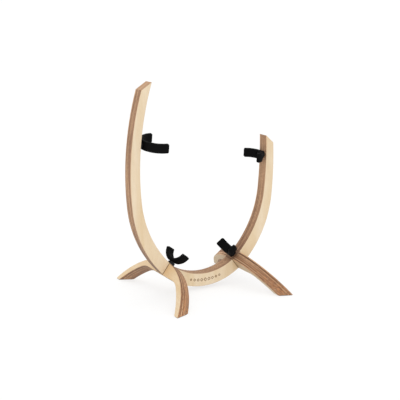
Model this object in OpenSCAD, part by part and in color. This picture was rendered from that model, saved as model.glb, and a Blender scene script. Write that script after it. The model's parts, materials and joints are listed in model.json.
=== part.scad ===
// Stand for a solid-body stringed instrument. A U-shaped bow of thick plywood stands on two
// crescent legs, and four padded yokes on studs hold the body of the instrument in the bow.
// Origin: on the floor, below the middle of the bow. +X right, +Y back, +Z up. Millimetres.

/* [Bow] */
// Thickness of the bow board
bow_t = 30; // [27:1:33]
// Height of the bow's lowest point above the floor
bow_lift = 7.3; // [5:0.1:10]
// Width of the band at the bottom of the bow
band_bottom = 32; // [30:0.5:34]
// Inner edge: radius of the round bottom
inner_r1 = 138; // [136:0.5:140]
// Inner edge: radius of the shoulder
inner_r2 = 258; // [250:1:266]
// Inner edge: radius of the left arm
left_inner_r3 = 691; // [670:1:712]
// Inner edge: radius of the right arm
right_inner_r3 = 1000; // [800:10:1200]
// Outer edge: radius of the round bottom
outer_r1 = 166; // [164:0.5:168]
// Outer edge: radius of the left shoulder
left_outer_r2 = 271; // [263:1:279]
// Outer edge: radius of the left arm
left_outer_r3 = 714; // [700:1:735]
// Outer edge: radius of the right shoulder
right_outer_r2 = 263; // [255:1:271]
// Outer edge: radius of the right arm
right_outer_r3 = 882; // [840:1:920]
// Angle from straight down at which the bottom passes into the shoulder
turn_1 = 47.7; // [46:0.1:49]
// Angle from straight down at which the shoulder passes into the arm
turn_2 = 84.5; // [83:0.1:86]
// Height of the left arm at its inner corner
left_tip_z = 509; // [440:1:530]
// Slope of the slanted end of the left arm
left_tip_slope = 33; // [20:1:50]
// Height of the right arm at its inner corner
right_tip_z = 364; // [345:1:440]
// Slope of the slanted end of the right arm
right_tip_slope = 42; // [20:1:50]
// Depth of the ornament engraved in the front of the bow
engrave = 0.6; // [0.3:0.1:1]

/* [Legs] */
// Thickness of the leg board
leg_t = 27; // [24:1:30]
// Distance from the middle of the stand to the middle of a leg board at the floor
leg_x = 140.8; // [138:0.1:143]
// Angle between a leg board and the floor
leg_lean = 53; // [52:0.5:54]
// Height of the crown of the leg, measured up the slope of the board
crown = 89; // [88:0.1:90]
// Radius of the upper edge of the leg
crown_r = 185; // [182:1:188]
// Height of the flat under the crown, measured up the slope of the board
flat_s = 56.5; // [55:0.1:58]
// Half length of the flat under the crown
flat_half = 64.5; // [60:0.5:68]
// Radius of the bend at the end of the flat
bend_r = 45; // [42:1:48]
// Angle turned in that bend
bend_a = 35; // [33:0.5:37]
// Radius of the lower edge from the bend to the foot
shin_r = 235; // [225:1:245]
// Thickness of the rubber pad under each foot
pad_t = 1.2; // [0.8:0.1:2]
// Distance of each pad from the edges of its foot
pad_inset = 1.6; // [1:0.1:3]

/* [Yokes] */
// Width of the padded band
band_w = 21.5; // [18:0.5:23]
// Thickness of the padded band
band_t = 8; // [8:0.5:9]
// Gap between the wood and the back of the band
stand_off = 7.5; // [7:0.1:10]
// Bend radius of the small yokes, to the middle of the band
yoke_r = 32; // [30:0.5:34]
// Angle from the stud to the end of each arm of a small yoke
yoke_a = 75; // [60:1:85]
// Bend radius of the large yoke, to the middle of the band
wide_r = 43; // [40:0.5:47]
// Angle from the stud to the end of each arm of the large yoke
wide_a = 90.5; // [75:0.5:92]
// Radius of the corners at the end of each arm
tip_corner = 2.8; // [2.4:0.1:4]
// Height of the upper left stud
left_yoke_z = 367; // [340:1:380]
// Height of the upper right stud
right_yoke_z = 315.5; // [300:0.5:325]
// Angle at which each yoke rests: upper left, upper right, lower left, lower right
rest_turn = [8.5, -5, 10, -4]; // [-20:1:20]

/* [Fittings] */
// Diameter of the stud
stud_d = 6; // [5:0.5:6]
// Depth of the stud in the wood
stud_depth = 13; // [11:0.5:13]
// Diameter of the head of the stud
head_d = 10; // [9:0.5:10.5]
// Thickness of the head of the stud
head_t = 1.9; // [1.5:0.1:2]
// Outside diameter of the threaded insert
insert_d = 9.5; // [8.5:0.5:10]
// Diameter of the collar between the wood and the yoke
collar_d = 18; // [16:0.5:19]
// Width of the flat steel bar inside a yoke
bar_w = 12; // [11:0.5:13]
// Thickness of the flat steel bar inside a yoke
bar_t = 3; // [2.5:0.5:3]
// Diameter of the hub welded into the bar
hub_d = 14; // [13.5:0.5:14.5]
// Diameter of the wood screws in the leg joints
screw_d = 4; // [3.5:0.5:4.5]
// Length of the wood screws in the leg joints
screw_len = 25; // [22:1:26]

/* [Hidden] */
$fn = 96;
reach = 900;
running_gap = 0.05;
cavity_gap = 0.1;
washer_t = 1;
screw_spread = 8.6;
bar_short = 7;
crown_joint_s = (crown + flat_s) / 2;
inner_z = bow_lift + band_bottom + inner_r1;
outer_z = bow_lift + outer_r1;
left_inner = [inner_z, inner_r1, inner_r2, left_inner_r3];
right_inner = [inner_z, inner_r1, inner_r2, right_inner_r3];
left_outer = [outer_z, outer_r1, left_outer_r2, left_outer_r3];
right_outer = [outer_z, outer_r1, right_outer_r2, right_outer_r3];

// A bow edge is three arcs that meet without a corner. Each function takes one edge and
// gives the centre of an arc, or the height at which a dividing line crosses the middle.
function ray(a) = [sin(a), -cos(a)];
function centre_1(e) = [0, e[0]];
function centre_2(e) = centre_1(e) + (e[1] - e[2]) * ray(turn_1);
function centre_3(e) = centre_2(e) + (e[2] - e[3]) * ray(turn_2);
function split_z(e) = centre_2(e)[1] + centre_2(e)[0] / tan(turn_2);
function arm_x(e, z) = centre_3(e)[0] + sqrt(pow(e[3], 2) - pow(z - centre_3(e)[1], 2));

// Place on the inner edge where a lower stud stands, along the middle of the leg board.
// It is the point of that line that lies on the bow's inner edge.
slope_dir = [-cos(leg_lean), sin(leg_lean)];
from_centre = [leg_x, -inner_z];
along = from_centre * slope_dir;
lower_s = -along - sqrt(along * along - from_centre * from_centre + inner_r1 * inner_r1);
lower_x = leg_x - lower_s * cos(leg_lean);
lower_z = lower_s * sin(leg_lean);

// Each stud: x and z of its foot on the wood, its lean from upright, and the yoke's turn
STUDS = [
    [-arm_x(left_inner, left_yoke_z), left_yoke_z, 90, rest_turn[0]],
    [arm_x(right_inner, right_yoke_z), right_yoke_z, -90, rest_turn[1]],
    [-lower_x, lower_z, 90 - leg_lean, rest_turn[2]],
    [lower_x, lower_z, leg_lean - 90, rest_turn[3]]
];
// The radius and half angle of a band
SMALL = [yoke_r, yoke_a];
WIDE = [wide_r, wide_a];

// Distances along a stud from the wood
hub_top = stand_off + band_t / 2 + bar_t / 2 + 0.2;
head_z = hub_top + running_gap;
collar_len = stand_off - washer_t - cavity_gap;

// ---- outlines ----

// Right half of the space inside one edge of the bow
module edge_half(e) {
    low = centre_1(e) + reach * ray(turn_1);
    mid = centre_3(e) + 2 * reach * ray(turn_2);
    intersection() {
        translate(centre_1(e)) circle(r = e[1], $fn = 720);
        polygon([centre_1(e), [0, -reach], [low[0], -reach], low]);
    }
    intersection() {
        translate(centre_2(e)) circle(r = e[2], $fn = 720);
        polygon([centre_1(e), low, mid, [0, split_z(e)]]);
    }
    intersection() {
        translate(centre_3(e)) circle(r = e[3], $fn = 720);
        polygon([[0, split_z(e)], mid, [mid[0], reach], [0, reach]]);
    }
}

// Right arm of the bow with its slanted end: the end slopes down towards the outside
module half_bow(inner_edge, outer_edge, tip_z, slope) {
    intersection() {
        difference() {
            edge_half(outer_edge);
            edge_half(inner_edge);
        }
        translate([arm_x(inner_edge, tip_z), tip_z])
            rotate(-slope) translate([-reach, -reach]) square([2 * reach, reach]);
    }
}

module bow_outline() {
    half_bow(right_inner, right_outer, right_tip_z, right_tip_slope);
    mirror([1, 0]) half_bow(left_inner, left_outer, left_tip_z, left_tip_slope);
}

// One side of the space under a leg: a flat, a bend and the long curve down to the foot
module under_leg_half(inset) {
    r = bend_r + inset;
    turn = [sin(bend_a), cos(bend_a)];
    bend_c = [flat_half, flat_s - bend_r];
    shin_c = bend_c + (bend_r - shin_r) * turn;
    far = shin_c + 2 * reach * turn;
    translate([-1, -reach]) square([flat_half + 1, reach + flat_s + inset]);
    intersection() {
        translate(bend_c) circle(r = r);
        polygon([bend_c, bend_c + [0, reach], far]);
    }
    intersection() {
        translate(shin_c) circle(r = shin_r + inset, $fn = 720);
        polygon([bend_c, far, [far[0], -reach], [flat_half, -reach]]);
    }
}

// The crescent, across the stand and up the slope of the board
module leg_outline(inset = 0) {
    difference() {
        translate([0, crown - crown_r]) circle(r = crown_r - inset, $fn = 720);
        under_leg_half(inset);
        mirror([1, 0]) under_leg_half(inset);
    }
}

// A rounded rectangle made of plain squares and circles
module soft_rect(x, y, r) {
    square([x - 2 * r, y], center = true);
    square([x, y - 2 * r], center = true);
    for (i = [-1, 1], j = [-1, 1])
        translate([i * (x / 2 - r), j * (y / 2 - r)]) circle(r = r, $fn = 48);
}

// ---- placing ----

// Local X across the stand, local Y up the slope of the right leg's board, local Z off its face
module in_leg(side) {
    mirror([side < 0 ? 1 : 0, 0, 0])
        translate([leg_x, 0, 0]) rotate([0, leg_lean - 90, 0]) rotate([90, 0, 90]) children();
}

// Local Z along stud i, from the wood into the bow's opening
module on_stud(i) {
    translate([STUDS[i][0], 0, STUDS[i][1]]) rotate([0, STUDS[i][2], 0]) children();
}

// As on_stud, and turned with the yoke
module on_yoke(i) {
    on_stud(i) rotate([0, 0, STUDS[i][3]]) children();
}

// ---- wood ----

module lozenge(a, x, y) {
    rotate(a) translate([0, -inner_r1 - band_bottom / 2])
        polygon([[-x / 2, 0], [0, -y / 2], [x / 2, 0], [0, y / 2]]);
}

// Nine open lozenges along the middle of the band, smaller towards both ends
module ornament() {
    translate([0, engrave - bow_t / 2, inner_z]) rotate([90, 0, 0]) linear_extrude(engrave + 1) {
        for (i = [-4:4]) {
            k = 1 - 0.07 * abs(i);
            difference() {
                lozenge(3.75 * i, 9.4 * k, 10 * k);
                lozenge(3.75 * i, 9.4 * k - 4, 10 * k - 4.2);
            }
        }
    }
}

module bow_frame() {
    color("burlywood") difference() {
        rotate([90, 0, 0]) linear_extrude(bow_t, center = true) bow_outline();
        for (side = [-1, 1]) in_leg(side) {
            translate([-bow_t, -bow_t, -leg_t / 2 - running_gap])
                cube([2 * bow_t, crown_joint_s + bow_t + running_gap, leg_t + 2 * running_gap]);
            joint_screw_places() cylinder(d = screw_d + 2 * running_gap, h = screw_len + 1);
        }
        for (i = [0:3]) on_stud(i) {
            translate([0, 0, -stud_depth - 1]) cylinder(d = insert_d + 2 * running_gap, h = stud_depth + 1);
            cylinder(d = collar_d + 1, h = 6);
        }
        ornament();
    }
}

module leg(side) {
    color("tan") difference() {
        intersection() {
            in_leg(side) linear_extrude(leg_t, center = true) leg_outline();
            translate([-reach / 2, -reach / 2, pad_t]) cube(reach);
        }
        in_leg(side) {
            translate([-bow_t / 2 - running_gap, crown_joint_s - running_gap, -leg_t])
                cube([bow_t + 2 * running_gap, crown_r, 2 * leg_t]);
            joint_screw_places() {
                cylinder(d = screw_d + 2 * running_gap, h = screw_len);
                cylinder(d1 = 2 * screw_d + 0.4, d2 = 0.4, h = screw_d);
            }
        }
    }
}

// Rubber pad under one foot, inside the outline of the foot
module foot_pad(side, end) {
    color("dimgray") intersection() {
        in_leg(side) linear_extrude(leg_t - 2 * pad_inset, center = true) leg_outline(pad_inset);
        translate([-reach / 2, end < 0 ? -reach : 0, 0]) cube([reach, reach, pad_t]);
    }
}

// ---- fasteners ----

// Local Z up the slope, from the flat under the crown, either side of the stud
module joint_screw_places() {
    for (y = [-screw_spread, screw_spread])
        translate([y, flat_s, 0]) rotate([-90, 0, 0]) children();
}

module wood_screw() {
    cylinder(d = screw_d, h = screw_len - 3);
    cylinder(d1 = 2 * screw_d, d2 = screw_d - 0.5, h = screw_d / 2);
    translate([0, 0, screw_len - 3.01]) cylinder(d1 = screw_d, d2 = 0.6, h = 3);
}

module leg_joint_screws() {
    color("silver") for (side = [-1, 1]) in_leg(side) joint_screw_places() difference() {
        wood_screw();
        translate([0, 0, -0.01]) cylinder(d = 2.6, h = 1.5, $fn = 6);
    }
}

module stud_inserts() {
    color("goldenrod") for (i = [0:3]) on_stud(i) translate([0, 0, -stud_depth]) difference() {
        cylinder(d = insert_d, h = stud_depth - 0.3);
        translate([0, 0, -1]) cylinder(d = stud_d + 2 * running_gap, h = stud_depth + 2);
    }
}

module stud(i) {
    color("dimgray") on_stud(i) difference() {
        union() {
            translate([0, 0, -stud_depth]) cylinder(d = stud_d, h = stud_depth + head_z + 0.1);
            translate([0, 0, head_z]) cylinder(d = head_d, h = head_t);
        }
        translate([0, 0, head_z + head_t - 1.5]) cylinder(d = 4.6, h = 2, $fn = 6);
    }
}

module collar(i) {
    edge = 0.6;
    color("#202022") on_stud(i) difference() {
        union() {
            cylinder(d = collar_d, h = collar_len - edge);
            translate([0, 0, collar_len - edge])
                cylinder(d1 = collar_d, d2 = collar_d - 2 * edge, h = edge);
        }
        translate([0, 0, -1]) cylinder(d = stud_d + 0.4, h = stand_off + 1);
    }
}

module washer(i) {
    color("ivory") on_stud(i) translate([0, 0, collar_len]) difference() {
        cylinder(d = collar_d - 4, h = washer_t);
        translate([0, 0, -1]) cylinder(d = stud_d + 0.4, h = washer_t + 2);
    }
}

// ---- yokes ----

// A band bent to an arc about local X, open towards +Z
module bent_band(radius, half, w, t, edge_r) {
    translate([0, 0, stand_off + band_t / 2 + radius]) rotate([90, 0, 90])
        rotate([0, 0, -90 - half]) rotate_extrude(angle = 2 * half, $fn = 180)
            translate([radius, 0]) soft_rect(t, w, edge_r);
}

// What is cut away to round the two corners at each end of a band
module tip_cuts(radius, half, w) {
    r = tip_corner;
    translate([0, 0, stand_off + band_t / 2 + radius]) rotate([90, 0, 90])
        for (flip = [0, 1], up = [0, 1])
            mirror([flip, 0, 0]) mirror([0, 0, up]) rotate([0, 0, half - 90])
                translate([radius, -r, w / 2 - r]) rotate([0, 90, 0]) difference() {
                    translate([-r - 1, 0, -band_t]) cube([r + 1, r + 1, 2 * band_t]);
                    translate([0, 0, -band_t - 1]) cylinder(r = r, h = 2 * band_t + 2);
                }
}

module yoke_bar(i, form) {
    color("gray") on_yoke(i) difference() {
        union() {
            bent_band(form[0], form[1] - bar_short, bar_w, bar_t, 0.6);
            translate([0, 0, stand_off]) cylinder(d = hub_d, h = hub_top - stand_off);
        }
        translate([0, 0, hub_top]) cylinder(d = hub_d + 1, h = 8);
        translate([0, 0, -1]) cylinder(d = stud_d + 2 * running_gap, h = 30);
    }
}

module yoke_cover(i, form) {
    grow = 2 * cavity_gap;
    color("#161616") on_yoke(i) difference() {
        bent_band(form[0], form[1], band_w, band_t, 2);
        tip_cuts(form[0], form[1], band_w);
        bent_band(form[0], form[1] - bar_short + 1, bar_w + grow, bar_t + grow, 0.6);
        translate([0, 0, stand_off - 1]) cylinder(d = hub_d + grow, h = 20);
    }
}

bow_frame();
leg(-1);  // left_leg
leg(1);  // right_leg
leg_joint_screws();
foot_pad(-1, -1);  // left_front_foot_pad
foot_pad(-1, 1);  // left_rear_foot_pad
foot_pad(1, -1);  // right_front_foot_pad
foot_pad(1, 1);  // right_rear_foot_pad
stud_inserts();
stud(0);  // upper_left_stud
stud(1);  // upper_right_stud
stud(2);  // lower_left_stud
stud(3);  // lower_right_stud
collar(0);  // upper_left_collar
collar(1);  // upper_right_collar
collar(2);  // lower_left_collar
collar(3);  // lower_right_collar
washer(0);  // upper_left_washer
washer(1);  // upper_right_washer
washer(2);  // lower_left_washer
washer(3);  // lower_right_washer
yoke_bar(0, WIDE);  // upper_left_yoke_bar
yoke_bar(1, SMALL);  // upper_right_yoke_bar
yoke_bar(2, SMALL);  // lower_left_yoke_bar
yoke_bar(3, SMALL);  // lower_right_yoke_bar
yoke_cover(0, WIDE);  // upper_left_yoke_cover
yoke_cover(1, SMALL);  // upper_right_yoke_cover
yoke_cover(2, SMALL);  // lower_left_yoke_cover
yoke_cover(3, SMALL);  // lower_right_yoke_cover
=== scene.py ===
import json
import math

import bmesh
import bpy
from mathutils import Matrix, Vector, noise


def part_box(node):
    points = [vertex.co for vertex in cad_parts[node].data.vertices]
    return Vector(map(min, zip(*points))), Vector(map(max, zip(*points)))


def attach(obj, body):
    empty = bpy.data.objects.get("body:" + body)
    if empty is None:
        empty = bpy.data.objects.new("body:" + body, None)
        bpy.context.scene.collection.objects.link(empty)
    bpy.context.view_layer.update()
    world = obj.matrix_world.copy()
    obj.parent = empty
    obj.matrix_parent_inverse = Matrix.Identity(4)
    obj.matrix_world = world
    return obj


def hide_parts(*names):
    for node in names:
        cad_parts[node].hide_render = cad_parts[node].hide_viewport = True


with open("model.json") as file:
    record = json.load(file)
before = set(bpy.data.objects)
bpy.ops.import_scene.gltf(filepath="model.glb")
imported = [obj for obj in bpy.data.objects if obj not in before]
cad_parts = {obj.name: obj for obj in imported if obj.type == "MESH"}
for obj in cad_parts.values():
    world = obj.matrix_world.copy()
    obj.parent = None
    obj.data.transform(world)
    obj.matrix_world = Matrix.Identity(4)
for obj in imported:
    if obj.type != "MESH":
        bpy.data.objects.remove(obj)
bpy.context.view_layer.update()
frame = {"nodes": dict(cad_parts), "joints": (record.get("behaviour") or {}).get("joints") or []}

NODES = frame["nodes"]
SWIVELS = {j["name"].replace("_swivel", ""): j for j in frame["joints"]}

# camera: direction of view in degrees, place in metres, lens and sensor in millimetres
AZIMUTH, ELEVATION = 29.614, 13.266
CAMERA_PLACE = (-1.01636, -1.77685, 0.70151)
LENS, SENSOR = 78.76, 36.0

# the boards: thickness in millimetres, number of plies, colour of the face veneer
BOW_BOARD = (30.0, 13, (230, 212, 184))
LEG_BOARD = (27.0, 11, (230, 207, 173))
LEG_LEAN = math.radians(53)
FOOT_REACH = 150.0

# heights in metres: where the paler ends of the bow begin, and where the halving joints end
TIP_HEIGHT = (0.30, 0.34)
JOINT_HEIGHT = (0.094, 0.098)

# meshes, in metres: welding distances before and after the corners are rounded, and the roundings of the wood
WELD, TIDY_WELD = 2e-6, 3e-5
ARRIS, SEAM_ARRIS = 0.0006, 0.0003
# shorter corners than this stay sharp along a joint
SEAM_LENGTH = 0.00045
# roundings of the fittings
INSERT_ROUND, PAD_ROUND, STUD_ROUND, COLLAR_ROUND, WASHER_ROUND = 0.00025, 0.0003, 0.0003, 0.0004, 0.00015
# angles between faces, in degrees: still flat, a corner to round, a corner of a joint, shaded as sharp
FLAT, CORNER, SEAM_CORNER, SHARP = 0.4, 30, 60, 40
# the covers: size of a voxel, swelling, and the radius round the hub that keeps its size
VOXEL, SWELL = 0.00062, 0.00045
HUB_CLEAR, HUB_FADE = 0.0075, 0.002
# unevenness of the covers: lumps per metre, height
LUMPS = ((260, 0.00010), (90, 0.00018))

# where the wood's corners are rounded less or not at all, in metres: bores, joints and the engraved band
BORE = 0.0065
NOTCH_HALF, NOTCH_TOP, NOTCH_INNER = 0.0138, 0.10, 0.05
LAP_MARGIN, LAP_FOOT = 0.0004, 0.03
BAND_CENTRE_Z, BAND_HALF_WIDTH, BAND_DEPTH = 0.1773, 0.05, 0.0007
BAND_RADII = (0.1475, 0.1605)
BAND_SKIN = 0.0001

# room, in metres: half the floor's side, its two tones and its glow, and what the lamps point at
FLOOR_HALF = 140.0
FLOOR_TONES = ((0.27, 0.27, 0.268), (0.285, 0.285, 0.282))
FLOOR_GLOW = 0.71
LAMP_AIM = Vector((0, 0, 0.2))


# ---------------------------------------------------------------- camera

def make_camera():
    az, el = math.radians(AZIMUTH), math.radians(ELEVATION)
    ahead = Vector((math.sin(az) * math.cos(el), math.cos(az) * math.cos(el), -math.sin(el)))
    data = bpy.data.cameras.new("camera")
    data.sensor_width = SENSOR
    data.lens = LENS
    data.clip_start, data.clip_end = 0.05, 300
    cam = bpy.data.objects.new("camera", data)
    cam.location = CAMERA_PLACE
    cam.rotation_euler = ahead.to_track_quat("-Z", "Y").to_euler()
    bpy.context.scene.collection.objects.link(cam)
    bpy.context.scene.camera = cam


# ---------------------------------------------------------------- node materials

class Graph:
    """Builds one material. Values are sockets, numbers or tuples."""

    def __init__(self, name):
        self.mat = bpy.data.materials.new(name)
        self.mat.use_nodes = True
        self.tree = self.mat.node_tree
        self.tree.nodes.clear()
        out = self.tree.nodes.new("ShaderNodeOutputMaterial")
        self.bsdf = self.tree.nodes.new("ShaderNodeBsdfPrincipled")
        self.tree.links.new(self.bsdf.outputs[0], out.inputs[0])
        self.coords = self.tree.nodes.new("ShaderNodeTexCoord")

    def put(self, socket, value):
        if isinstance(value, bpy.types.NodeSocket):
            self.tree.links.new(value, socket)
        elif value is not None:
            if isinstance(value, tuple) and len(value) == 3 and len(socket.default_value) == 4:
                value = (*value, 1.0)
            socket.default_value = value

    def node(self, kind, inputs=(), **props):
        n = self.tree.nodes.new(kind)
        for k, v in props.items():
            setattr(n, k, v)
        for i, v in (inputs.items() if isinstance(inputs, dict) else enumerate(inputs)):
            self.put(n.inputs[i], v)
        return n

    def math(self, op, *args):
        return self.node("ShaderNodeMath", args, operation=op).outputs[0]

    def times(self, a, b):
        return self.math("MULTIPLY", a, b)

    def vmath(self, op, *args):
        return self.node("ShaderNodeVectorMath", args, operation=op)

    def dot(self, a, b):
        return self.vmath("DOT_PRODUCT", a, b).outputs["Value"]

    def xyz(self, x, y, z):
        return self.node("ShaderNodeCombineXYZ", (x, y, z)).outputs[0]

    def noise(self, vec, scale, detail=3.0, rough=0.5, distort=0.0):
        inputs = {"Vector": vec, "Scale": scale, "Detail": detail, "Roughness": rough, "Distortion": distort}
        return self.node("ShaderNodeTexNoise", inputs).outputs[0]

    def random(self, w):
        return self.node("ShaderNodeTexWhiteNoise", {"W": w}, noise_dimensions="1D").outputs["Value"]

    def map(self, v, a, b, c=0.0, d=1.0, smooth=False):
        inputs = {"Value": v, "From Min": a, "From Max": b, "To Min": c, "To Max": d}
        n = self.node("ShaderNodeMapRange", inputs)
        n.interpolation_type = "SMOOTHSTEP" if smooth else "LINEAR"
        n.clamp = True
        return n.outputs[0]

    def mix(self, fac, a, b):
        n = self.tree.nodes.new("ShaderNodeMix")
        n.data_type, n.blend_type, n.clamp_factor = "RGBA", "MIX", True
        self.put(n.inputs["Factor"], fac)
        self.put(n.inputs[6], a)
        self.put(n.inputs[7], b)
        return n.outputs[2]

    def tint(self, base, pattern, start, stop, strength, colour):
        """Lays an sRGB colour over base as pattern goes from start to stop."""
        return self.mix(self.map(pattern, start, stop, 0.0, strength), base, srgb(*colour))

    def blend(self, fac, a, b):
        """Number between a and b."""
        return self.math("MULTIPLY_ADD", fac, self.math("SUBTRACT", b, a), a)

    def attribute(self, name):
        return self.node("ShaderNodeAttribute", attribute_name=name).outputs["Fac"]

    def bump(self, height, distance, strength):
        inputs = {"Strength": strength, "Distance": distance, "Height": height}
        return self.node("ShaderNodeBump", inputs).outputs[0]

    def finish(self, colour, rough, normal=None, **fixed):
        self.put(self.bsdf.inputs["Base Color"], colour)
        self.put(self.bsdf.inputs["Roughness"], rough)
        if normal is not None:
            self.put(self.bsdf.inputs["Normal"], normal)
        for k, v in fixed.items():
            self.put(self.bsdf.inputs[k.replace("_", " ")], v)
        return self.mat


def srgb(r, g, b):
    return tuple(((c / 255 + 0.055) / 1.055) ** 2.4 if c > 10 else c / 255 / 12.92 for c in (r, g, b))


# blotches on the sawn edge near the feet: noise from and to, strength, colour
STAINS = (
    (0.46, 0.60, 0.72, (214, 152, 102)),
    (0.60, 0.68, 0.92, (62, 38, 27)),
    (0.40, 0.32, 0.60, (240, 200, 156)),
)
# lines along a leg's sawn edge: distance from the middle of the board, half width, strength, colour
LEG_LINES = (
    (8.8, 1.7, 0.95, (66, 38, 25)),
    (11.6, 0.9, 0.15, (216, 170, 128)),
    (5.6, 1.2, 0.52, (240, 200, 156)),
    (2.6, 1.4, 0.60, (92, 56, 36)),
)


def plywood(name, middle, normal, grain, board, seed, joints, feet=0.0):
    """Birch plywood cut from one board. Middle is a point in its middle plane, normal its thickness direction
    and grain the direction of the face veneer, which alternate plies cross. Lengths inside are millimetres.
    Each joint is a plane with a dark line, a glue line and painted shadow of the gap: a direction and a
    distance from middle. Feet is how far along the grain the sawn edge turns coarse and stained; it also
    gives a leg its few strong lines."""
    thickness, plies, face = board
    g = Graph(name)
    n_dir, g_dir = Vector(normal).normalized(), Vector(grain).normalized()
    c_dir = n_dir.cross(g_dir)
    where = g.vmath("SUBTRACT", g.coords.outputs["Object"], tuple(middle)).outputs[0]
    where = g.vmath("MULTIPLY", where, (1000.0, 1000.0, 1000.0)).outputs[0]
    t, a, b = (g.dot(where, tuple(v)) for v in (n_dir, g_dir, c_dir))
    times = g.times
    facing = g.coords.outputs["Normal"]
    on_face = g.map(g.math("ABSOLUTE", g.dot(facing, tuple(n_dir))), 0.80, 0.97, smooth=True)
    end_g = g.math("POWER", g.dot(facing, tuple(g_dir)), 2.0)
    end_c = g.math("POWER", g.dot(facing, tuple(c_dir)), 2.0)

    # the plies, uneven in thickness and not quite flat
    sway_t = g.math("MULTIPLY_ADD", t, 0.42, seed * 5.3)
    sway = g.noise(g.xyz(times(a, 0.012), times(b, 0.012), sway_t), 1.0, 2.0)
    inner = g.map(g.math("ABSOLUTE", t), thickness / 2 - 2.6, thickness / 2 - 0.8, 2.4, 0.0)
    depth = g.math("MULTIPLY_ADD", g.math("SUBTRACT", sway, 0.5), inner, t)
    level = g.math("MULTIPLY_ADD", depth, plies / thickness, plies / 2)
    ply = g.math("MINIMUM", g.math("MAXIMUM", g.math("FLOOR", level), 0.0), plies - 1.0)
    within = g.math("FRACT", level)
    cross = g.math("FLOORED_MODULO", ply, 2.0)
    tone = g.random(g.math("ADD", ply, seed * 7.31))
    tone_2 = g.random(g.math("ADD", ply, seed * 3.17 + 50))
    end = g.map(g.blend(cross, end_g, end_c), 0.06, 0.62, smooth=True)
    near_glue = g.math("MINIMUM", within, g.math("SUBTRACT", 1.0, within))
    glue = g.map(near_glue, 0.04, 0.12, 1.0, 0.0, smooth=True)

    # streaks along the grain of each ply
    along = g.blend(cross, a, b)
    over = g.blend(cross, b, a)
    fibre = g.noise(g.xyz(times(along, 0.05), times(over, 1.5), times(t, 1.5)), 1.0, 4.0, 0.6)
    coarse = g.noise(g.xyz(times(along, 0.014), times(over, 0.17), times(t, 0.55)), 1.0, 3.0, 0.6)
    stain_t = g.math("MULTIPLY_ADD", t, 0.38, seed * 9.1)
    stain = g.noise(g.xyz(times(along, 0.020), times(over, 0.10), stain_t), 1.0, 3.0, 0.6)
    broad_t = g.math("MULTIPLY_ADD", t, 0.25, seed * 2.3)
    broad = g.noise(g.xyz(times(a, 0.005), times(b, 0.005), broad_t), 1.0, 2.0, 0.5)
    pores = g.noise(g.xyz(times(along, 0.22), times(over, 4.5), times(t, 4.5)), 1.0, 2.0, 0.5)
    pore = g.map(pores, 0.60, 0.70, smooth=True)

    # sawn edge: long grain is honey brown, end grain soaks up oil and is darker
    light = g.mix(tone, srgb(236, 195, 154), srgb(204, 156, 114))
    dark = g.mix(tone_2, srgb(162, 116, 84), srgb(92, 60, 42))
    edge = g.mix(end, light, dark)
    if not feet:
        edge = g.tint(edge, end_c, 0.3, 0.95, 0.16, (226, 188, 152))
    edge = g.tint(edge, broad, 0.48, 0.60, 0.58, (116, 78, 56))
    edge = g.tint(edge, broad, 0.46, 0.34, 0.40, (232, 190, 148))
    edge = g.tint(edge, coarse, 0.50, 0.72, 0.70, (112, 74, 52))
    edge = g.tint(edge, coarse, 0.46, 0.28, 0.45, (234, 190, 146))
    edge = g.tint(edge, fibre, 0.35, 0.75, 0.35, (98, 67, 50))
    edge = g.mix(times(glue, 0.50), edge, srgb(82, 52, 38))
    edge = g.mix(times(pore, 0.30), edge, srgb(66, 42, 30))
    if feet:
        near = g.map(g.math("ABSOLUTE", a), feet * 0.45, feet, 0.25, 1.0, smooth=True)
        for start, stop, strength, tint in STAINS:
            edge = g.mix(times(near, g.map(stain, start, stop, 0.0, strength)), edge, srgb(*tint))
        fade = g.map(g.math("ABSOLUTE", a), 55.0, feet, 1.0, 0.60)
        broken = g.map(coarse, 0.62, 0.46, 0.25, 1.0)
        for at, half, strength, tint in LEG_LINES:
            off = g.math("ABSOLUTE", g.math("SUBTRACT", depth, at))
            line = times(g.map(off, half * 0.5, half, strength, 0.0), fade)
            edge = g.mix(times(line, broken), edge, srgb(*tint))

    # the slanted ends of the bow are paler than the rest of the end grain
    height = g.dot(g.coords.outputs["Object"], (0.0, 0.0, 1.0))
    tip = times(g.map(height, *TIP_HEIGHT), g.map(end_g, 0.35, 0.55, 0.0, 0.62))
    edge = g.mix(tip, edge, srgb(202, 162, 126))

    # rotary-cut face veneer
    slow = g.noise(g.xyz(times(a, 0.006), times(b, 0.035), seed * 1.7), 1.0, 3.0, 0.5, distort=0.6)
    figure = g.noise(g.xyz(times(a, 0.014), times(b, 0.22), seed * 2.9), 1.0, 4.0, 0.6, distort=0.9)
    ring = g.math("SUBTRACT", g.math("FRACT", times(figure, 6.0)), 0.5)
    flame = g.map(g.math("ABSOLUTE", ring), 0.0, 0.5)
    warmer = (face[0] - 9, face[1] - 15, face[2] - 24)
    veneer = g.mix(g.map(slow, 0.35, 0.68), srgb(*face), srgb(*warmer))
    veneer = g.mix(g.map(flame, 0.0, 0.35, 0.16, 0.0), veneer, srgb(204, 172, 136))
    veneer = g.tint(veneer, fibre, 0.45, 0.80, 0.24, (198, 166, 130))
    veneer = g.mix(times(pore, 0.18), veneer, srgb(164, 126, 92))
    if feet:
        crown = g.map(g.math("ABSOLUTE", a), 22.0, 75.0, 0.42, 0.0, smooth=True)
        veneer = g.mix(crown, veneer, srgb(204, 166, 118))
    colour = g.mix(on_face, edge, veneer)

    # painted shade: what faces the floor is darkened, as if it lay in shade
    painted_underside_shade = g.map(g.dot(facing, (0.0, 0.0, -1.0)), 0.12, 0.70, 0.0, 0.40, smooth=True)
    colour = g.mix(painted_underside_shade, colour, srgb(112, 101, 91))
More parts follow.
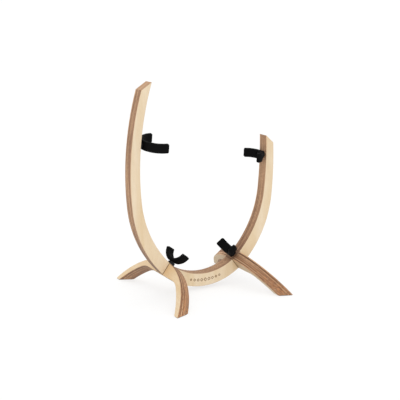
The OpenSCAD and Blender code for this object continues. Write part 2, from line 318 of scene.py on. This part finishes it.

    # rounded edge, engraving and joint; the dark line at the joint is a glue line with painted shadow of the
    # gap
    rubbed = g.attribute("arris")
    colour = g.mix(times(rubbed, g.map(fibre, 0.3, 0.7, 0.06, 0.28)), colour, srgb(190, 150, 112))
    burnt = g.attribute("burnt")
    colour = g.mix(times(burnt, g.map(fibre, 0.2, 0.9, 0.88, 1.0)), colour, srgb(128, 86, 48))
    low = g.map(height, *JOINT_HEIGHT, 1.0, 0.0)
    seam = g.attribute("seam")
    for direction, distance in joints:
        gap = g.math("ABSOLUTE", g.math("SUBTRACT", g.dot(where, tuple(direction)), distance))
        seam = g.math("MAXIMUM", seam, times(low, g.map(gap, 0.7, 1.5, 1.0, 0.0, smooth=True)))
    colour = g.mix(times(seam, 0.80), colour, srgb(104, 70, 42))

    rough = g.blend(on_face, g.map(fibre, 0.3, 0.8, 0.58, 0.74), g.map(figure, 0.3, 0.7, 0.46, 0.56))
    rough = g.math("MULTIPLY_ADD", burnt, 0.2, rough)
    relief = g.math("MULTIPLY_ADD", end, -0.35, times(glue, -0.5))
    relief = times(g.math("SUBTRACT", 1.0, on_face), relief)
    relief = g.math("MULTIPLY_ADD", fibre, 0.35, relief)
    relief = g.math("MULTIPLY_ADD", pore, -0.5, relief)
    return g.finish(colour, rough, g.bump(relief, 0.00012, 0.8), Specular_IOR_Level=0.30)


def foam_rubber():
    g = Graph("foam_rubber")
    p = g.coords.outputs["Object"]
    cells = g.node("ShaderNodeTexVoronoi", {"Vector": p, "Scale": 2100.0}, feature="F1").outputs["Distance"]
    skin = g.noise(p, 900.0, 4.0, 0.6)
    cloud = g.noise(p, 60.0, 4.0, 0.6)
    scuff = g.noise(g.vmath("MULTIPLY", p, (140.0, 900.0, 140.0)).outputs[0], 1.0, 3.0, 0.6)
    scuffed = g.map(scuff, 0.62, 0.80, 0.0, 0.35)
    colour = g.mix(g.map(cloud, 0.3, 0.7), srgb(10, 10, 11), srgb(15, 15, 15))
    colour = g.mix(g.map(cells, 0.0, 0.45, 0.5, 0.0), colour, srgb(8, 8, 8))
    colour = g.mix(scuffed, colour, srgb(24, 24, 23))
    height = g.math("ADD", g.times(cells, 0.6), g.times(skin, 0.8))
    rough = g.map(cloud, 0.3, 0.7, 0.66, 0.82)
    return g.finish(colour, rough, g.bump(height, 0.00022, 0.7), Specular_IOR_Level=0.055)


def moulded_plastic():
    g = Graph("moulded_plastic")
    p = g.coords.outputs["Object"]
    peel = g.noise(p, 1400.0, 3.0, 0.55)
    cloud = g.noise(p, 110.0, 3.0, 0.6)
    streak = g.noise(g.vmath("MULTIPLY", p, (200.0, 1800.0, 300.0)).outputs[0], 1.0, 2.0, 0.5)
    nick = g.map(streak, 0.66, 0.78)
    colour = g.mix(g.map(cloud, 0.3, 0.7), srgb(14, 15, 17), srgb(20, 21, 24))
    colour = g.mix(g.times(g.attribute("arris"), 0.35), colour, srgb(40, 42, 47))
    colour = g.mix(g.times(nick, 0.3), colour, srgb(52, 54, 60))
    rough = g.map(cloud, 0.3, 0.75, 0.30, 0.46)
    return g.finish(colour, rough, g.bump(peel, 0.00006, 0.6), Specular_IOR_Level=0.24)


def dark_steel(name, base, rubbed, scale=1.0):
    """Blackened steel, rubbed brighter along its corners."""
    g = Graph(name)
    p = g.coords.outputs["Object"]
    stretch = (2600.0 * scale, 260.0 * scale, 2600.0 * scale)
    grain = g.noise(g.vmath("MULTIPLY", p, stretch).outputs[0], 1.0, 3.0, 0.6)
    cloud = g.noise(p, 160.0, 4.0, 0.6)
    wear = g.times(g.attribute("arris"), g.map(cloud, 0.35, 0.62, 0.1, 0.85))
    colour = g.mix(g.map(cloud, 0.3, 0.7), srgb(*base), srgb(*[c * 1.35 for c in base]))
    colour = g.mix(g.map(grain, 0.55, 0.8, 0.0, 0.4), colour, srgb(*[c * 1.8 for c in base]))
    colour = g.mix(wear, colour, srgb(*rubbed))
    rough = g.map(grain, 0.3, 0.7, 0.32, 0.48)
    return g.finish(colour, rough, g.bump(grain, 0.00003, 0.6), Metallic=0.75)


def bright_metal(name, light, deep, low, high):
    """Plated or turned metal with fine tool marks and dulled patches."""
    g = Graph(name)
    p = g.coords.outputs["Object"]
    marks = g.noise(g.vmath("MULTIPLY", p, (500.0, 500.0, 5200.0)).outputs[0], 1.0, 2.0, 0.5)
    cloud = g.noise(p, 220.0, 4.0, 0.6)
    colour = g.mix(g.map(cloud, 0.35, 0.7), srgb(*light), srgb(*deep))
    worn = srgb(*[min(255, c * 1.1) for c in light])
    colour = g.mix(g.times(g.attribute("arris"), 0.4), colour, worn)
    return g.finish(colour, g.map(cloud, 0.3, 0.7, low, high), g.bump(marks, 0.00003, 0.7), Metallic=1.0)


def nylon():
    g = Graph("nylon")
    p = g.coords.outputs["Object"]
    cloud = g.noise(p, 240.0, 4.0, 0.6)
    fine = g.noise(p, 2400.0, 2.0, 0.5)
    colour = g.mix(g.map(cloud, 0.3, 0.7), srgb(46, 46, 47), srgb(60, 60, 60))
    rough = g.map(cloud, 0.3, 0.7, 0.42, 0.55)
    return g.finish(colour, rough, g.bump(fine, 0.00004, 0.6), Specular_IOR_Level=0.5)


def pad_rubber():
    g = Graph("pad_rubber")
    p = g.coords.outputs["Object"]
    ribs = g.node("ShaderNodeTexVoronoi", {"Vector": p, "Scale": 900.0}, feature="F1").outputs["Distance"]
    cloud = g.noise(p, 130.0, 4.0, 0.6)
    dust = g.map(g.noise(p, 420.0, 5.0, 0.7), 0.5, 0.75, 0.0, 0.5)
    colour = g.mix(g.map(cloud, 0.3, 0.7), srgb(26, 25, 24), srgb(38, 37, 35))
    colour = g.mix(dust, colour, srgb(86, 80, 72))
    rough = g.map(cloud, 0.3, 0.7, 0.7, 0.9)
    return g.finish(colour, rough, g.bump(ribs, 0.0002, 0.6), Specular_IOR_Level=0.35)


# ---------------------------------------------------------------- meshes

def cad_copy(node):
    """The CAD node's surface with its flat faces whole again."""
    bm = bmesh.new()
    bm.from_mesh(NODES[node].data)
    bmesh.ops.remove_doubles(bm, verts=bm.verts, dist=WELD)
    bmesh.ops.dissolve_limit(bm, angle_limit=math.radians(FLAT), verts=bm.verts, edges=bm.edges)
    bmesh.ops.dissolve_degenerate(bm, dist=1e-6, edges=bm.edges)
    bm.normal_update()
    return bm


def corner(e, least):
    return len(e.link_faces) == 2 and e.calc_face_angle(0.0) > math.radians(least)


def round_edges(bm, edges, width, segments, mark, clamp=True):
    """Rounds the edges and marks the new faces in a face layer of that name."""
    if not edges:
        return
    layer = bm.faces.layers.float.get(mark) or bm.faces.layers.float.new(mark)
    made = bmesh.ops.bevel(bm, geom=edges, offset=width, offset_type="OFFSET", segments=segments, profile=0.5,
                           affect="EDGES", clamp_overlap=clamp, harden_normals=False)
    for f in made["faces"]:
        f[layer] = 1.0
    bm.normal_update()


def to_object(bm, name, body, mat, stands_for):
    for f in bm.faces:
        f.smooth = True
    for e in bm.edges:
        e.smooth = not corner(e, SHARP)
    mesh = bpy.data.meshes.new(name)
    bm.to_mesh(mesh)
    bm.free()
    mesh.materials.append(mat)
    o = bpy.data.objects.new(name, mesh)
    bpy.context.scene.collection.objects.link(o)
    even = o.modifiers.new("even_normals", "WEIGHTED_NORMAL")
    even.keep_sharp = True
    even.weight = 80
    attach(o, body)
    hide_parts(stands_for)
    return o


def wood_piece(node, name, mat, is_seam, is_ornament=None):
    """The bow or a leg. Its corners are rounded, less along the joints, not in the bores or the ornament."""
    bm = cad_copy(node)
    burnt = bm.faces.layers.float.new("burnt")
    arris = bm.faces.layers.float.new("arris")
    if is_ornament:
        for f in bm.faces:
            f[burnt] = 1.0 if is_ornament(f.calc_center_median(), BAND_SKIN) else 0.0
    shafts = [(Vector(j["pos_m"]), Vector(j["axis"])) for j in SWIVELS.values()]

    def middle(e):
        return (e.verts[0].co + e.verts[1].co) / 2

    def bored(p):
        return any((p - foot).cross(axis).length < BORE for foot, axis in shafts)

    def plain(e):
        p = middle(e)
        return corner(e, CORNER) and not is_seam(p) and not bored(p) and not (is_ornament and is_ornament(p))

    def seam(e):
        long_enough = corner(e, SEAM_CORNER) and e.calc_length() > SEAM_LENGTH
        return long_enough and is_seam(middle(e)) and not any(f[arris] > 0.5 for f in e.link_faces)

    round_edges(bm, [e for e in bm.edges if plain(e)], ARRIS, 3, "arris", clamp=False)
    round_edges(bm, [e for e in bm.edges if seam(e)], SEAM_ARRIS, 1, "seam", clamp=False)
    # the unclamped rounding can leave a vertex outside the piece
    low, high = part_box(node)
    for v in bm.verts:
        v.co = [min(max(c, a), b) for c, a, b in zip(v.co, low, high)]
    bmesh.ops.remove_doubles(bm, verts=bm.verts, dist=TIDY_WELD)
    return to_object(bm, name, "stand", mat, node)


def small_piece(node, name, body, mat, width=0.0, segments=2):
    """A fitting: its corners rounded, unless the CAD piece is rounded already or too fine for it."""
    bm = cad_copy(node)
    if width:
        round_edges(bm, [e for e in bm.edges if corner(e, CORNER)], width, segments, "arris")
    return to_object(bm, name, body, mat, node)


def cover_piece(node, name, body, mat, stud):
    """The padded cover: the CAD band softened, swollen again by about what that takes off, and a little
    uneven. It is not swollen round the hub, where it would meet the washer."""
    src = NODES[node].data.copy()
    o = bpy.data.objects.new(name, src)
    bpy.context.scene.collection.objects.link(o)
    weld = o.modifiers.new("weld", "WELD")
    weld.merge_threshold = WELD
    remesh = o.modifiers.new("remesh", "REMESH")
    remesh.mode, remesh.voxel_size, remesh.adaptivity = "VOXEL", VOXEL, 0.0
    smooth = o.modifiers.new("smooth", "SMOOTH")
    smooth.factor, smooth.iterations = 0.5, 5
    dg = bpy.context.evaluated_depsgraph_get()
    mesh = bpy.data.meshes.new_from_object(o.evaluated_get(dg))
    bpy.data.objects.remove(o)
    bpy.data.meshes.remove(src)
    mesh.name = name
    o = bpy.data.objects.new(name, mesh)
    bpy.context.scene.collection.objects.link(o)
    axis, foot = Vector(stud["axis"]), Vector(stud["pos_m"])
    normals = [n.vector.copy() for n in mesh.vertex_normals]
    for v, n in zip(mesh.vertices, normals):
        lump = sum(noise.noise(v.co * per_metre) * height for per_metre, height in LUMPS)
        off_axis = (v.co - foot).cross(axis).length
        swell = SWELL * min(1.0, max(0.0, (off_axis - HUB_CLEAR) / HUB_FADE))
        v.co += n * (swell + lump)
    mesh.materials.clear()
    mesh.materials.append(mat)
    for poly in mesh.polygons:
        poly.use_smooth = True
    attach(o, body)
    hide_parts(node)
    return o


# ---------------------------------------------------------------- the stand

def build():
    bow_lo, bow_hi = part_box("bow_frame")
    half = (bow_hi.y - bow_lo.y) / 2
    lower = {-1: Vector(SWIVELS["lower_left"]["pos_m"]), 1: Vector(SWIVELS["lower_right"]["pos_m"])}
    across = {s: Vector((s * math.sin(LEG_LEAN), 0, math.cos(LEG_LEAN))) for s in (-1, 1)}

    def bow_seam(p):
        s = -1 if p.x < 0 else 1
        in_notch = abs((p - lower[s]).dot(across[s])) < NOTCH_HALF
        return p.z < NOTCH_TOP and abs(p.x) > NOTCH_INNER and in_notch

    def leg_seam(p):
        return abs(p.y) < half + LAP_MARGIN and p.z > LAP_FOOT

    def ornament(p, deep=0.0):
        """In the engraved band on the front of the bow; deep leaves out what lies flush with the face."""
        r = math.hypot(p.x, p.z - BAND_CENTRE_Z)
        in_depth = bow_lo.y + deep - 1e-6 < p.y < bow_lo.y + BAND_DEPTH
        return in_depth and abs(p.x) < BAND_HALF_WIDTH and BAND_RADII[0] < r < BAND_RADII[1]

    half_leg, half_bow = LEG_BOARD[0] / 2, BOW_BOARD[0] / 2
    notches = [(across[s], 1000 * lower[s].dot(across[s]) + d)
               for s in (-1, 1) for d in (-half_leg, half_leg)]
    halvings = [((0, 1, 0), -half_bow), ((0, 1, 0), half_bow)]
    bow_ply = plywood("bow_plywood", (0, 0, 0), (0, 1, 0), (0, 0, 1), BOW_BOARD, 1, notches)
    wood_piece("bow_frame", "bow", bow_ply, bow_seam, ornament)
    for s, side in ((-1, "left"), (1, "right")):
        ply = plywood(f"{side}_leg_plywood", lower[s], across[s], (0, 1, 0), LEG_BOARD, 3 + s, halvings,
                      FOOT_REACH)
        wood_piece(f"{side}_leg", f"{side}_leg_crescent", ply, leg_seam)

    rubber, plastic = foam_rubber(), moulded_plastic()
    steel = dark_steel("black_stud", (30, 30, 32), (120, 118, 114))
    bar = dark_steel("black_bar", (26, 26, 28), (96, 95, 92), 0.6)
    zinc = bright_metal("zinc_plate", (176, 176, 172), (140, 141, 140), 0.30, 0.46)
    brass = bright_metal("turned_brass", (206, 170, 98), (168, 128, 66), 0.26, 0.42)
    white, sole = nylon(), pad_rubber()
    small_piece("leg_joint_screws", "joint_screws", "stand", zinc)
    small_piece("stud_inserts", "threaded_inserts", "stand", brass, INSERT_ROUND)
    for side in ("left", "right"):
        for end in ("front", "rear"):
            foot = f"{side}_{end}"
            small_piece(f"{foot}_foot_pad", f"{foot}_sole", "stand", sole, PAD_ROUND)
    for k, j in SWIVELS.items():
        small_piece(f"{k}_stud", f"{k}_bolt", "stand", steel, STUD_ROUND)
        small_piece(f"{k}_collar", f"{k}_spacer", "stand", plastic, COLLAR_ROUND, 3)
        small_piece(f"{k}_washer", f"{k}_slip_ring", "stand", white, WASHER_ROUND)
        small_piece(f"{k}_yoke_bar", f"{k}_bent_bar", f"{k}_yoke", bar)
        cover_piece(f"{k}_yoke_cover", f"{k}_padding", f"{k}_yoke", rubber, j)


# ---------------------------------------------------------------- room

def make_room():
    scene = bpy.context.scene
    scene.view_settings.view_transform = "Standard"
    scene.view_settings.look = "None"
    world = bpy.data.worlds.new("room")
    world.use_nodes = True
    back = world.node_tree.nodes["Background"]
    back.inputs[0].default_value = (1.0, 1.0, 1.0, 1.0)
    back.inputs[1].default_value = 1.0
    scene.world = world
    mesh = bpy.data.meshes.new("floor")
    r = FLOOR_HALF
    mesh.from_pydata([(-r, -r, 0), (r, -r, 0), (r, r, 0), (-r, r, 0)], [], [(0, 1, 2, 3)])
    floor = bpy.data.objects.new("floor", mesh)
    scene.collection.objects.link(floor)
    g = Graph("pale_floor")
    fine = g.noise(g.coords.outputs["Object"], 9.0, 4.0, 0.5)
    pale = g.mix(fine, *FLOOR_TONES)
    mesh.materials.append(g.finish(pale, 0.85, Specular_IOR_Level=0.1, Emission_Color=(1.0, 1.0, 1.0),
                                   Emission_Strength=FLOOR_GLOW))

    def lamp(name, place, size, power):
        data = bpy.data.lights.new(name, "AREA")
        data.shape, data.size, data.energy = "DISK", size, power
        o = bpy.data.objects.new(name, data)
        o.location = place
        o.rotation_euler = (LAMP_AIM - Vector(place)).to_track_quat("-Z", "Y").to_euler()
        scene.collection.objects.link(o)

    lamp("key", (-0.9, -2.2, 2.0), 1.8, 8)
    lamp("fill", (1.6, -1.4, 1.2), 1.6, 2)
    lamp("top", (0.2, 0.6, 2.4), 1.6, 5)


make_camera()
build()
make_room()
